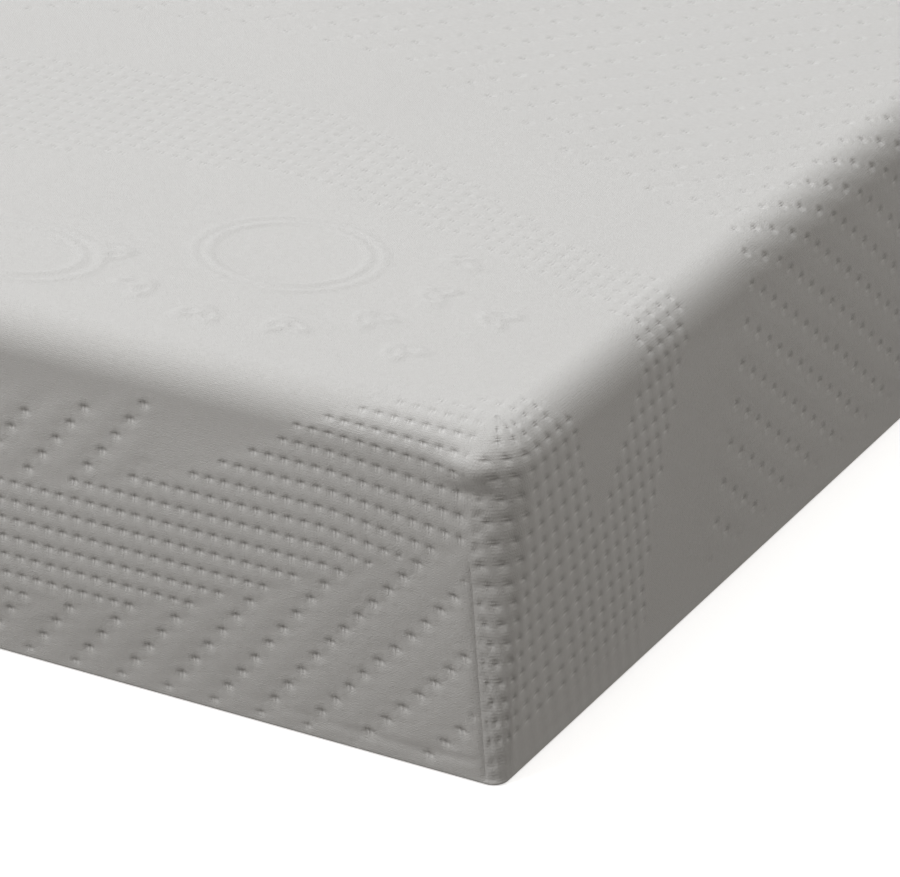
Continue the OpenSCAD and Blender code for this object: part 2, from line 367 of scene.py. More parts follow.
def dart_shape(distance, z, on_end):
    """Height of the cloth beside a corner dart: the seam's groove, needle pulls, the puff and folds over
    its end, and the cloth that turns in towards it."""
    closed = smooth(DART_TOP + 5, DART_TOP - 4, z)
    groove = -0.5 * closed * bell(distance, 0.9)
    rows = np.mod(z + 2.5, 7.6) - 3.8
    gathered = smooth(TUCK_Z - 9, TUCK_Z - 13, z) * (0.5 + 0.5 * smooth(DART_TOP - 6, DART_TOP + 4, z))
    pulls = -gathered * smooth(0, 1.5, distance) * bell(distance - 3, 2) * bell(rows, 1.4) * (not on_end)
    reach = 11 if on_end else 7
    tuck = 3.4 * bell(distance, reach) * bell(z - TUCK_Z, 6.5)
    fold = -1.3 * bell(z - TUCK_Z + 10.5 - 0.012 * distance ** 2, 2.2) * bell(distance, reach)
    folds = np.zeros(distance.shape)
    for tilt, strength in ((0.30, 0.5), (0.95, 0.4)):
        run = distance * math.cos(tilt) + (z - DART_TOP - 16) * math.sin(tilt)
        off = (z - DART_TOP - 16) * math.cos(tilt) - distance * math.sin(tilt)
        folds -= strength * bell(off, 1.8) * smooth(0, 3, run) * bell(np.maximum(run - 4, 0), 12)
    folds = folds * smooth(0, 3, distance) * (1.0 if on_end else 0.5)
    if on_end:
        turned_in = -0.8 * np.clip(1 - distance / 6, 0, 1) ** 2
    else:
        turned_in = -(0.8 + 0.36 * distance) * np.clip(1 - distance / 15, 0, 1) ** 2
    return groove + pulls + tuck + fold + folds + turned_in * smooth(DART_TOP + 2, DART_TOP - 12, z)


def side_points(side, cols, rows, detail=True):
    """Points, normals of the smooth shape, and cloth data of a side, as grids of rows by columns."""
    plan = SIDES[side]
    half = plan["half"]
    z = rows["z"][:, None] + 0 * cols["a"][None, :]
    depth = rows["depth"][:, None] + 0 * z
    inset = np.where(depth > EDGE_R, corner_radius(z), EDGE_R)
    radius = inset + rows["out"][:, None]
    theta = cols["theta"][None, :] + 0 * z
    end = cols["end"][None, :] + 0 * z
    a = cols["a"][None, :] + 0 * z
    stretch = np.sign(a) * (EDGE_R - inset) * np.clip((np.abs(a) - half + EDGE_R + SPREAD_L) / SPREAD_L, 0, 1)
    along = np.where(end == 0, a + stretch, end * (half - inset + radius * np.sin(theta)))
    outward = plan["reach"] - inset + radius * np.cos(theta)
    n_out = rows["n_out"][:, None] * np.cos(theta)
    n_along = rows["n_out"][:, None] * np.sin(theta) * end
    n_up = rows["n_up"][:, None] + 0 * z

    cloth_along = a + end * theta * EDGE_R
    u, v = cloth_place(side, cloth_along, depth)
    on_end = side in ("front", "back")
    to_pole = np.where(end == 0, np.hypot(half - inset - np.abs(along), radius), radius)
    if on_end:
        seam = half - inset - np.abs(along)
    else:
        seam = np.where(end == 0, half - inset - np.abs(along) + radius * math.pi / 2,
                        radius * (math.pi / 2 - theta))
    from_corner = half - np.abs(along)
    on_face = smooth(EDGE_R, 2.5 * EDGE_R, depth) * smooth(0, 30, z)
    if side == "back":
        on_face = on_face * smooth(OPEN_TOP + 2, OPEN_TOP + 40, z)
    bulge = BULGE * np.sin(math.pi * np.clip(z / (HEIGHT - EDGE_R), 0, 1)) * smooth(20, 90, from_corner)
    height = bulge * on_face + settle(u, v) * smooth(10, 60, from_corner) * on_face
    i, j, _, _ = stitch_numbers(u, v)
    pit = np.zeros(z.shape)
    if detail:
        pattern, i, j, pit = relief(u, v)
        clear = smooth(0.5, 4.5, seam) * smooth(2, 9, np.where(depth < EDGE_R, to_pole, 99))
        bottom = smooth(0, 4, z)
        if side == "back":
            beside_zip = smooth(LIP_X, LIP_X + 6, np.abs(along))
            bottom = np.maximum(smooth(OPEN_TOP + 4, OPEN_TOP + 9, z), beside_zip * bottom)
        height = height + pattern * clear * bottom
        pit = pit * clear * bottom
        height = height + dart_shape(seam, z, on_end) * smooth(0, 3, z)
        hem = bell(z - 9 - 1.2 * np.sin(along / 23), 1.5) * smooth(150, 30, from_corner)
        height = height - 0.55 * hem * smooth(1, 5, seam) * (1.0 if on_end else 0.4)
    out_x, out_y = plan["out"]
    along_x, along_y = plan["along"]
    points = np.stack((outward * out_x + along * along_x, outward * out_y + along * along_y, z), axis=-1)
    normals = np.stack((n_out * out_x + n_along * along_x, n_out * out_y + n_along * along_y, n_up), axis=-1)
    return points + normals * height[..., None], normals, np.stack((i, j, pit), axis=-1)


def grid_normals(points):
    across = np.gradient(points, axis=1)
    down = np.gradient(points, axis=0)
    normal = np.cross(across, down)
    size = np.linalg.norm(normal, axis=-1, keepdims=True)
    return normal / np.maximum(size, 1e-12)


def facing(normals, guide):
    """The same normals, turned to the side that guide points to."""
    return normals * np.where(np.sum(normals * guide, axis=-1, keepdims=True) < 0, -1, 1)


def side_grid(side):
    """One side of the cover with its edge roll and the turn under its lower edge."""
    straight = ACROSS if side in ("front", "back") else ALONG
    pitch = PITCH_DOWN_END if side in ("front", "back") else PITCH_DOWN_LONG
    marks = [HEIGHT - OPEN_TOP - LIP_R] if side == "back" else [HEIGHT / 2]
    depths = with_marks(stations(-EDGE_R, HEIGHT - TURN_R, pitch / CELLS_ALONG), marks)
    ghost = -EDGE_R - PITCH_ALONG / CELLS_ALONG
    rows = joined(face_rows(np.concatenate(([ghost], depths))), under_rows())
    cols = columns(side, straight)
    points, base, cloth = side_points(side, cols, rows)
    normals = facing(grid_normals(points), base)
    turned = cols["theta"] > 0
    normals[:2, turned] = base[:2, turned]
    ends = [0, -1]
    down = np.gradient(points[:, ends], axis=0)
    shared = facing(np.cross(down, [1.0, 0, 0]), base[:, ends])
    shared /= np.linalg.norm(shared, axis=-1, keepdims=True)
    over_dart = smooth(DART_TOP - 2, DART_TOP + 6, points[:, ends, 2])[..., None]
    normals[:, ends] = normals[:, ends] * (1 - over_dart) + shared * over_dart
    keep = None
    if side == "back":
        middle_x = (straight[:-1] + straight[1:]) / 2
        middle_depth = (rows["depth"][1:-1] + rows["depth"][2:]) / 2
        keep = ~((np.abs(middle_x)[None, :] < LIP_X) & (middle_depth[:, None] > marks[0]))
    return as_grid(points[1:], normals[1:], cloth[1:], keep)


def top_grid():
    """The flat top up to where its edges begin to roll over."""
    step = PITCH_ALONG / CELLS_ALONG
    across = np.concatenate(([ACROSS[0] - step], ACROSS, [ACROSS[-1] + step])) - WIDTH / 2
    along = np.concatenate(([ALONG[0] - step], ALONG, [ALONG[-1] + step])) + LENGTH / 2
    u, v = np.meshgrid(across, along)
    out_u, down_u, turn_u = edge_roll(np.maximum(u, -WIDTH - u))
    out_v, down_v, turn_v = edge_roll(np.maximum(-v, v - LENGTH))
    side_u = np.where(u > -WIDTH / 2, 1, -1)
    side_v = np.where(v > LENGTH / 2, 1, -1)
    points = np.stack((side_u * (WIDTH / 2 + out_u), side_v * (LENGTH / 2 + out_v), HEIGHT - down_u - down_v),
                      axis=-1)
    base = np.stack((side_u * np.sin(turn_u), side_v * np.sin(turn_v), np.cos(turn_u) * np.cos(turn_v)),
                    axis=-1)
    height, i, j, pit = relief(u, v)
    to_corner = np.hypot(WIDTH / 2 + out_u - HALF_ACROSS, LENGTH / 2 + out_v - HALF_ALONG)
    clear = smooth(2, 9, to_corner)
    to_edge = np.minimum(np.minimum(-u, u + WIDTH), np.minimum(v, LENGTH - v)) - EDGE_R
    height = height * clear + settle(u, v) * smooth(0, 60, to_edge)
    points = points + base * height[..., None]
    normals = facing(grid_normals(points), base)
    cloth = np.stack((i, j, pit * clear), axis=-1)
    inner = (slice(1, -1), slice(1, -1))
    normals = normals[inner]
    for row in (0, -1):
        for col in (0, -1):
            normals[row, col] = (0, 0, 1)
    return as_grid(points[inner], normals, cloth[inner])


def as_grid(points, normals, cloth, keep=None):
    """Rows by columns of points; keep marks the cells that get a face, all of them if it is None."""
    return {"points": points, "normals": normals, "cloth": cloth, "keep": keep}


def strip_grid(path, profile, normals):
    """A grid that sweeps a profile of (y, z) points along X; path holds each profile row's x values."""
    points = np.zeros((len(profile), path.shape[1], 3))
    points[..., 0] = path
    points[..., 1] = profile[:, None, 0]
    points[..., 2] = profile[:, None, 1]
    directions = np.zeros(points.shape)
    directions[..., 1] = normals[:, None, 0]
    directions[..., 2] = normals[:, None, 1]
    data = np.zeros(points.shape)
    data[..., 0] = points[..., 0] / PITCH_ACROSS
    data[..., 1] = (points[..., 1] + points[..., 2]) / PITCH_ALONG
    return as_grid(points, directions, data)


def hem_grids():
    """The folded hem over the zip, and the folded edge at each end of the opening."""
    face_y = LENGTH / 2
    turn = np.linspace(0, math.pi / 2, 6)
    run = np.array([face_y - LIP_R - 1.5, face_y - HEM_DEPTH])
    inside = ACROSS[np.abs(ACROSS) <= LIP_X + 1e-6]
    profile = np.concatenate((
        np.stack((face_y - LIP_R * (1 - np.cos(turn)), OPEN_TOP + LIP_R * (1 - np.sin(turn))), axis=-1),
        np.stack((run, np.full(2, OPEN_TOP)), axis=-1)))
    directions = np.concatenate((np.stack((np.cos(turn), -np.sin(turn)), axis=-1), [[0, -1], [0, -1]]))
    shrink = np.concatenate((LIP_R * np.sin(turn), [LIP_R, LIP_R]))
    path = np.clip(inside[None, :], shrink[:, None] - LIP_X, LIP_X - shrink[:, None])
    grids = [strip_grid(path, profile, directions)]
    heights = np.linspace(1, 0, 9)
    top = OPEN_TOP + LIP_R - shrink
    for side in (-1, 1):
        x = side * (LIP_X - shrink)
        points = np.stack((np.repeat(x[:, None], 9, 1), np.repeat(profile[:, :1], 9, 1),
                           top[:, None] * heights[None, :]), axis=-1)
        normal = np.zeros(points.shape)
        normal[..., 0] = side * directions[:, None, 1]
        normal[..., 1] = directions[:, None, 0]
        data = np.stack((points[..., 2] / PITCH_ACROSS, (points[..., 0] + points[..., 1]) / PITCH_ALONG,
                         0 * points[..., 0]), axis=-1)
        grids.append(as_grid(points, normal, data))
    return grids


# ---------------------------------------------------------------- meshes

def quads(shape, keep=None):
    index = np.arange(shape[0] * shape[1]).reshape(shape[:2])
    faces = np.stack((index[:-1, :-1], index[:-1, 1:], index[1:, 1:], index[1:, :-1]), axis=-1)
    return faces[keep] if keep is not None else faces.reshape(-1, 4)


def wound(faces, points, normals):
    """The same faces, wound so that they look the way the normals point."""
    a, b, c = (points[faces[:, k]] for k in (0, 1, 2))
    d = points[faces[:, 3]]
    face_normal = np.cross(c - a, d - b)
    ahead = np.sum(face_normal * (normals[faces[:, 0]] + normals[faces[:, 2]]), axis=1)
    faces = faces.copy()
    faces[ahead < 0] = faces[ahead < 0][:, ::-1]
    return faces


def merged(points, faces):
    """Joins points that coincide, and turns quads that lose a corner into triangles."""
    key = np.round(points * 1000).astype(np.int64) + 4_000_000
    code = (key[:, 0] * 8_000_000 + key[:, 1]) * 8_000_000 + key[:, 2]
    _, first, back = np.unique(code, return_index=True, return_inverse=True)
    faces = back[faces]
    same = faces == np.roll(faces, -1, axis=1)
    lost = same.sum(axis=1)
    whole = faces[lost == 0]
    cut = faces[lost == 1]
    drop = np.argmax(same[lost == 1], axis=1)
    order = (drop[:, None] + np.arange(1, 4)[None, :]) % 4
    triangles = np.take_along_axis(cut, order, axis=1)
    return first, [whole, triangles]


def mesh_object(name, points, face_sets, normals=None, cloth=None):
    """A smooth mesh from points in millimetres and arrays of faces with the same number of corners each."""
    face_sets = [f for f in face_sets if len(f)]
    mesh = bpy.data.meshes.new(name)
    mesh.vertices.add(len(points))
    mesh.vertices.foreach_set("co", (points * MM).astype(np.float32).ravel())
    corners = np.concatenate([f.ravel() for f in face_sets])
    sizes = np.concatenate([np.full(len(f), f.shape[1]) for f in face_sets])
    mesh.loops.add(len(corners))
    mesh.loops.foreach_set("vertex_index", corners.astype(np.int32))
    mesh.polygons.add(len(sizes))
    starts = np.concatenate(([0], np.cumsum(sizes)[:-1]))
    mesh.polygons.foreach_set("loop_start", starts.astype(np.int32))
    mesh.update(calc_edges=True)
    mesh.validate()
    mesh.shade_smooth()
    if cloth is not None:
        mesh.attributes.new("cloth", "FLOAT_VECTOR", "POINT")
        mesh.attributes["cloth"].data.foreach_set("vector", cloth.astype(np.float32).ravel())
    if normals is not None:
        mesh.normals_split_custom_set_from_vertices(normals.tolist())
    piece = bpy.data.objects.new(name, mesh)
    bpy.context.scene.collection.objects.link(piece)
    return piece


def grid_object(name, grids):
    """One mesh from several grids whose edges meet."""
    points, normals, cloth, faces = [], [], [], []
    start = 0
    for grid in grids:
        flat = grid["points"].reshape(-1, 3)
        flat_normals = grid["normals"].reshape(-1, 3)
        faces.append(wound(quads(grid["points"].shape, grid["keep"]), flat, flat_normals) + start)
        points.append(flat)
        normals.append(flat_normals)
        cloth.append(grid["cloth"].reshape(-1, 3))
        start += len(flat)
    points = np.concatenate(points)
    first, face_sets = merged(points, np.concatenate(faces))
    used = np.unique(np.concatenate([f.ravel() for f in face_sets]))
    renumber = np.full(len(first), -1)
    renumber[used] = np.arange(len(used))
    face_sets = [renumber[f] for f in face_sets]
    pick = first[used]
    normals = np.concatenate(normals)
    cloth = np.concatenate(cloth)
    return mesh_object(name, points[pick], face_sets, normals[pick], cloth[pick])


def tubes(centres, radii, side, corners=6):
    """Round tubes: centres is tubes by stations by 3, radii tubes by stations, side a way off the line."""
    ahead = np.gradient(centres, axis=1)
    ahead /= np.maximum(np.linalg.norm(ahead, axis=-1, keepdims=True), 1e-12)
    first = side - np.sum(side * ahead, axis=-1, keepdims=True) * ahead
    first /= np.maximum(np.linalg.norm(first, axis=-1, keepdims=True), 1e-12)
    second = np.cross(ahead, first)
    turn = TAU * np.arange(corners) / corners
    ring = (first[:, :, None, :] * np.cos(turn)[None, None, :, None]
            + second[:, :, None, :] * np.sin(turn)[None, None, :, None])
    points = centres[:, :, None, :] + ring * radii[:, :, None, None]
    count, length = centres.shape[:2]
    index = np.arange(count * length * corners).reshape(count, length, corners)
    after = np.roll(index, -1, axis=2)
    walls = np.stack((index[:, :-1], after[:, :-1], after[:, 1:], index[:, 1:]), axis=-1).reshape(-1, 4)
    caps = np.concatenate((index[:, 0, ::-1], index[:, -1]))
    return points.reshape(-1, 3), [walls, caps]


def stitches(name, starts, ends, outward, radius):
    """A row of stitches, each a short thread that rises from the cloth and dips back into it."""
    t = np.linspace(0, 1, 6)
    rise = np.sin(math.pi * t)
    starts, ends, outward = (np.asarray(x, float) for x in (starts, ends, outward))
    centres = (starts[:, None] + (ends - starts)[:, None] * t[None, :, None]
               + outward[:, None] * (radius * (1.1 * rise - 0.5))[None, :, None])
    radii = radius * (0.6 + 0.4 * rise)[None, :] * np.ones((len(starts), 1))
    side = outward[:, None] + 0 * centres
    points, faces = tubes(centres, radii, side)
    return mesh_object(name, points, faces)


# ---------------------------------------------------------------- materials

def new_material(name, colour, roughness, **sockets):
    material = bpy.data.materials.new(name)
    material.use_nodes = True
    shader = material.node_tree.nodes["Principled BSDF"]
    shader.inputs["Base Color"].default_value = (*colour, 1)
    shader.inputs["Roughness"].default_value = roughness
    for socket, value in sockets.items():
        shader.inputs[socket.replace("_", " ")].default_value = value
    return material, material.node_tree, shader


def add(tree, kind, settings=None, **inputs):
    """A node with its settings and its sockets filled from values or from other sockets."""
    node = tree.nodes.new(kind)
    for key, value in (settings or {}).items():
        setattr(node, key, value)
    for key, value in inputs.items():
        socket = node.inputs[int(key[1:])] if key[1:].isdigit() else node.inputs[key.replace("_", " ")]
        if isinstance(value, bpy.types.NodeSocket):
            tree.links.new(value, socket)
        else:
            socket.default_value = value
    return node


def maths(tree, operation, a, b=0.0):
    return add(tree, "ShaderNodeMath", {"operation": operation}, i0=a, i1=b).outputs[0]


def times(tree, a, b):
    return maths(tree, "MULTIPLY", a, b)


def plus(tree, a, b):
    return maths(tree, "ADD", a, b)


def blend_colour(tree, factor, a, b):
    """Mixes two colours, each a value or a socket."""
    node = tree.nodes.new("ShaderNodeMix")
    node.data_type = "RGBA"
    for index, value in ((0, factor), (6, a), (7, b)):
        if isinstance(value, bpy.types.NodeSocket):
            tree.links.new(value, node.inputs[index])
        else:
            node.inputs[index].default_value = value if index == 0 else (*value, 1)
    return node.outputs[2]


def noise(tree, vector, scale, detail=3.0, roughness=0.5):
    return add(tree, "ShaderNodeTexNoise", None, Vector=vector, Scale=scale, Detail=detail,
               Roughness=roughness).outputs["Fac"]


def bump(tree, shader, height, distance, strength=1.0):
    node = add(tree, "ShaderNodeBump", None, Height=height, Distance=distance, Strength=strength)
    tree.links.new(node.outputs["Normal"], shader.inputs["Normal"])


def position(tree):
    return tree.nodes.new("ShaderNodeTexCoord").outputs["Object"]


def paint(tree, shader, colour):
    tree.links.new(colour, shader.inputs["Base Color"])


def shade(colour, factor):
    return tuple(c * factor for c in colour)


def mottle(tree, place, colour, scale, dark, light):
    """Cloudy change of a colour between two strengths of it."""
    return blend_colour(tree, noise(tree, place, scale, 3), shade(colour, dark), shade(colour, light))


def cell_offset(tree, number, pitch):
    """Signed distance in millimetres from the middle of the nearest stitch, one way along the knit."""
    part = maths(tree, "FRACT", plus(tree, number, 1000.5))
    return times(tree, maths(tree, "SUBTRACT", part, 0.5), pitch)


def hump(tree, x, middle, width):
    """1 where x is middle, falling off smoothly over width."""
    off = maths(tree, "ABSOLUTE", maths(tree, "DIVIDE", maths(tree, "SUBTRACT", x, middle), width))
    return maths(tree, "EXPONENT", times(tree, maths(tree, "POWER", off, 2), -1))


def knit(name, colour):
    """Fine knit that follows the stitch numbers, with a melange yarn and sunken tight stitches; shade is
    painted darker into the sunken stitches and highlights are painted lighter onto the paired strands beside
    them.
    """
    material, tree, shader = new_material(name, colour, 0.92, Sheen_Weight=0.15, Sheen_Roughness=0.5)
    shader.inputs["Specular IOR Level"].default_value = 0.25
    cloth = add(tree, "ShaderNodeAttribute", {"attribute_name": "cloth"}).outputs["Vector"]
    parts = add(tree, "ShaderNodeSeparateXYZ", None, Vector=cloth)
    number_u, number_v, tight = parts.outputs
    wale = maths(tree, "SINE", times(tree, number_u, TAU * 6))
    bend = times(tree, wale, 1.4)
    course = maths(tree, "SINE", plus(tree, times(tree, number_v, TAU * 8), bend))
    loops = plus(tree, times(tree, wale, 0.12), times(tree, course, 0.16))
    place = position(tree)
    fuzz = noise(tree, place, 1400, 2)
    surface = plus(tree, loops, times(tree, fuzz, 1.8))
    off_u = cell_offset(tree, number_u, PITCH_ACROSS)
    off_v = cell_offset(tree, number_v, PITCH_ALONG)
    past_right = maths(tree, "GREATER_THAN", number_u, 0.8)
    past_left = maths(tree, "LESS_THAN", number_u, -WIDTH / PITCH_ACROSS - 0.8)
    wide_v = plus(tree, 1.1, plus(tree, past_right, past_left))
    wide_u = maths(tree, "SUBTRACT", 2.3, times(tree, wide_v, 0.45))
    pit = times(tree, hump(tree, off_u, 0, wide_u), hump(tree, off_v, 0.4, wide_v))
    sunk = times(tree, pit, tight)
    apart = maths(tree, "ABSOLUTE", off_u)
    pair = times(tree, hump(tree, apart, 0.75, 0.33), hump(tree, off_v, -0.5, 1.8))
    strands = times(tree, pair, maths(tree, "SQRT", tight))
    dented = maths(tree, "SUBTRACT", times(tree, strands, 0.0002), times(tree, sunk, 0.0007))
    bump(tree, shader, plus(tree, times(tree, surface, 0.00016), dented), 1.0, 0.9)
    yarn = noise(tree, place, 480, 3, 0.7)
    mottled = mottle(tree, place, colour, 9, 0.975, 1.03)
    spun = blend_colour(tree, times(tree, yarn, 0.45), mottled, shade(colour, 0.7))
    # Painted shade: the colour is darkened inside each sunken tight stitch.
    painted_pit_shade = blend_colour(tree, times(tree, sunk, 0.32), spun, shade(colour, 0.6))
    # Painted highlight: the paired strands at each sunken stitch are painted lighter, up to 1.45 times the
    # colour.
    painted_strand_highlight = blend_colour(tree, times(tree, strands, 0.38), painted_pit_shade, shade(colour, 1.45))
    paint(tree, shader, painted_strand_highlight)
    return material


def woven(name, colour, spacing, roughness=0.85, sheen=0.2):
    """Plain weave of two crossing threads, spacing metres apart."""
    material, tree, shader = new_material(name, colour, roughness, Sheen_Weight=sheen)
    place = position(tree)
    parts = add(tree, "ShaderNodeSeparateXYZ", None, Vector=place)
    turns = TAU / spacing
    first = maths(tree, "SINE", times(tree, parts.outputs["X"], turns))
    other = plus(tree, parts.outputs["Y"], parts.outputs["Z"])
    second = maths(tree, "SINE", times(tree, other, turns))
    weave = times(tree, first, second)
    fuzz = noise(tree, place, 1200, 2)
    bump(tree, shader, plus(tree, weave, fuzz), spacing * 0.22, 0.8)
    mottled = mottle(tree, place, colour, 14, 0.93, 1.06)
    dark = times(tree, maths(tree, "ABSOLUTE", weave), 0.35)
    paint(tree, shader, blend_colour(tree, dark, shade(colour, 0.8), mottled))
    return material


def foam(name, colour, cell):
    """Open-cell foam with fine pores, cell metres across."""
    material, tree, shader = new_material(name, colour, 0.95)
    place = position(tree)
    pores = add(tree, "ShaderNodeTexVoronoi", None, Vector=place, Scale=1 / cell).outputs["Distance"]
    bump(tree, shader, pores, cell * 0.5, 0.9)
    mottled = mottle(tree, place, colour, 22, 0.94, 1.03)
    paint(tree, shader, blend_colour(tree, pores, shade(colour, 0.8), mottled))
    return material


def metal(name, colour):
    """Plated zinc with a brushed grain along the part and handling marks."""
    material, tree, shader = new_material(name, colour, 0.32, Metallic=1.0)
    place = add(tree, "ShaderNodeMapping", None, Vector=position(tree), Scale=(300, 3000, 3000)).outputs[0]
    grain = noise(tree, place, 1, 2)
    marks = noise(tree, position(tree), 500, 4)
    rough = add(tree, "ShaderNodeMapRange", None, Value=plus(tree, grain, marks), i1=0.6, i2=1.4, i3=0.24,
                i4=0.44).outputs[0]
    tree.links.new(rough, shader.inputs["Roughness"])
    bump(tree, shader, grain, 0.00002, 0.6)
    paint(tree, shader, blend_colour(tree, marks, shade(colour, 0.86), shade(colour, 1.08)))
    return material


def thread(name, colour, twist=0.0009):
    """Spun thread with its twist, along any of the three directions."""
    material, tree, shader = new_material(name, colour, 0.7, Sheen_Weight=0.3)
    place = position(tree)
    wave = add(tree, "ShaderNodeTexWave", {"bands_direction": "DIAGONAL"}, Vector=place, Scale=1 / twist / 3,
               Distortion=1.0).outputs["Fac"]
    bump(tree, shader, wave, twist * 0.15, 0.8)
    paint(tree, shader, blend_colour(tree, wave, shade(colour, 0.82), shade(colour, 1.04)))
    return material


def nylon(name, colour):
    """Slightly glossy moulded monofilament."""
    material, tree, shader = new_material(name, colour, 0.38)
    place = position(tree)
    cloud = noise(tree, place, 700, 3)
    paint(tree, shader, blend_colour(tree, cloud, shade(colour, 0.88), shade(colour, 1.1)))
    bump(tree, shader, cloud, 0.00004, 0.5)
    return material


# ---------------------------------------------------------------- pieces

def dress(piece, slot, material, *nodes):
    """Gives a new piece its material and its body, and hides the nodes of the imported model that it stands
    for. The slot argument is not used.
    """
    piece.data.materials.clear()
    piece.data.materials.append(material)
    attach(piece, "mattress")
    if nodes:
        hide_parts(*nodes)
    return piece


def make_cover(material):
    """The knitted cover as its top and four sides, which meet point for point."""
    top = dress(grid_object("cover_top", [top_grid()]), "cover_knit", material, "cover_shell")
    for side, plan in SIDES.items():
        grids = [side_grid(side)] + (hem_grids() if side == "back" else [])
        piece = dress(grid_object("cover_" + side, grids), "cover_knit", material)


def base_grids():
    """The base panel with the shallow waves of loose cloth, and the folded upstand that carries the zip."""
    x = np.linspace(-WIDTH / 2 + TURN_R + UNDER_L - 1, WIDTH / 2 - TURN_R - UNDER_L + 1, 180)
    y = np.linspace(-LENGTH / 2 + TURN_R + UNDER_L - 1, LENGTH / 2 - HEM_DEPTH + 1, 360)
    across, along = np.meshgrid(x, y)
    to_edge = np.minimum(WIDTH / 2 - np.abs(across), LENGTH / 2 - np.abs(along))
    wave = 0.5 + 0.25 * np.sin(across / 31 + 0.8 * np.sin(along / 90)) * np.sin(along / 57)
    puckers = 0.25 * bell(to_edge - 9, 4) * np.sin(TAU * (across + along) / 11)
    z = 0.1 + (wave + puckers) * smooth(5, 25, to_edge)
    points = np.stack((across, along, z), axis=-1)
    normals = facing(grid_normals(points), np.array([0, 0, -1.0]))
    cloth = np.stack((across / PITCH_ACROSS, along / PITCH_ALONG, 0 * across), axis=-1)
    face_y = LENGTH / 2
    back_y = face_y - HEM_DEPTH
    turn = np.linspace(0, math.pi / 2, 5)
    r = LIP_R
    top_back = [(back_y + r - r * math.cos(t), OPEN_FOOT - r + r * math.sin(t)) for t in turn]
    top_face = [(face_y - r + r * math.sin(t), OPEN_FOOT - r + r * math.cos(t)) for t in turn]
    foot = [(face_y - r + r * math.cos(t), r - r * math.sin(t)) for t in turn]
    profile = np.array([(back_y, 0.3)] + top_back + top_face + foot
                       + [(back_y + 0.5, 0.0), (back_y - 1.0, 0.15)])
    tangent = np.gradient(profile, axis=0)
    outward = np.stack((-tangent[:, 1], tangent[:, 0]), axis=-1)
    outward /= np.linalg.norm(outward, axis=1, keepdims=True)
    run = np.repeat(np.linspace(-OPEN_X, OPEN_X, 200)[None, :], len(profile), axis=0)
    upstand = strip_grid(run, profile, outward)
    return [as_grid(points, normals, cloth), upstand]


def make_base(material):
    piece = dress(grid_object("base_panel", base_grids()), "base_cloth", material, "cover_base")


def rounded_bar(low, high, count):
    """A long flat tape between two corners, with rounded long edges and count rings of points."""
    x = np.linspace(low[0], high[0], count)
    turn = np.linspace(0, TAU, 17)[:-1]
    thick = (high[1] - low[1]) / 2
    half_z = (high[2] - low[2]) / 2
    y = (low[1] + high[1]) / 2 + np.clip(np.sin(turn) * 1.4, -1, 1) * thick
    z = (low[2] + high[2]) / 2 + np.clip(np.cos(turn) * 1.2, -1, 1) * half_z
    points = np.stack(np.broadcast_arrays(x[:, None], y, z), axis=-1)
    index = np.arange(count * len(turn)).reshape(count, len(turn))
    after = np.roll(index, -1, axis=1)
    walls = np.stack((index[:-1], after[:-1], after[1:], index[1:]), axis=-1).reshape(-1, 4)
    return points.reshape(-1, 3), [walls, np.stack((index[0, ::-1], index[-1]))]


def make_tapes(material):
    for name, low, high in (("upper", TAPE_LOW, TAPE_HIGH), ("lower", LOWER_TAPE_LOW, LOWER_TAPE_HIGH)):
        points, faces = rounded_bar(low, high, 400)
        dress(mesh_object("tape_" + name, points, faces), "zip_tape", material, "zip_tape_" + name)


def make_coils(material):
    """Both rows of nylon coil, each one long helix whose turns stand between those of the other. They don't
    part at the slider, so its web runs through them."""
    wire = 0.34
    pitch = 1.4
    reach = 0.2
    middle_z = (COIL_HIGH[2] + UPPER_COIL_LOW[2]) / 2
    turns = int((COIL_HIGH[0] - COIL_LOW[0]) / pitch)
    per_turn = 10
    t = np.arange(turns * per_turn + 1) / per_turn
    rows = (("upper", 1, UPPER_COIL_LOW, UPPER_COIL_HIGH), ("lower", -1, COIL_LOW, COIL_HIGH))
    for name, side, low, high in rows:
        near = middle_z - side * reach
        far = high[2] if side > 0 else low[2]
        half_z = abs(far - near) / 2 - wire
        half_y = (high[1] - low[1]) / 2 - wire
        x = low[0] + pitch * (t + (0.5 if side > 0 else 0))
        x = np.minimum(x, high[0])
        y = (low[1] + high[1]) / 2 + half_y * np.sin(TAU * t)
        z = (near + far) / 2 + side * half_z * np.cos(TAU * t)
        centres = np.stack((x, y, z), axis=-1)[None]
        points, faces = tubes(centres, np.full(centres.shape[:2], wire), np.array([1.0, 0, 0]))
        dress(mesh_object("coil_" + name, points, faces), "zip_coil", material, "zip_coil_" + name)


def make_zip_stitching(material):
    step = 3.4
    length = 2.7
    x = np.arange(STITCH_LOW[0], STITCH_HIGH[0] - length, step)
    for name, z in (("upper", STITCH_LOW[2] + 0.25), ("lower", LOWER_STITCH_LOW[2] + 0.25)):
        starts = np.stack((x, np.full(x.shape, LENGTH / 2), np.full(x.shape, z)), axis=-1)
        ends = starts + np.array([length, 0, 0])
        outward = np.array([0, 1.0, 0]) + 0 * starts
        row = stitches("stitching_" + name, starts, ends, outward, 0.28)
        dress(row, "stitch_thread", material, "zip_stitching_" + name)


def label_points(across, down, lift):
    """Points on the left side, lift above the cover's smooth shape."""
    rows = face_rows(HEIGHT - down)
    cols = {"a": across, "theta": 0 * across, "end": 0 * across}
    points, normals, _ = side_points("left", cols, rows, detail=False)
    return points + normals * np.broadcast_to(lift, points.shape[:2])[..., None], normals


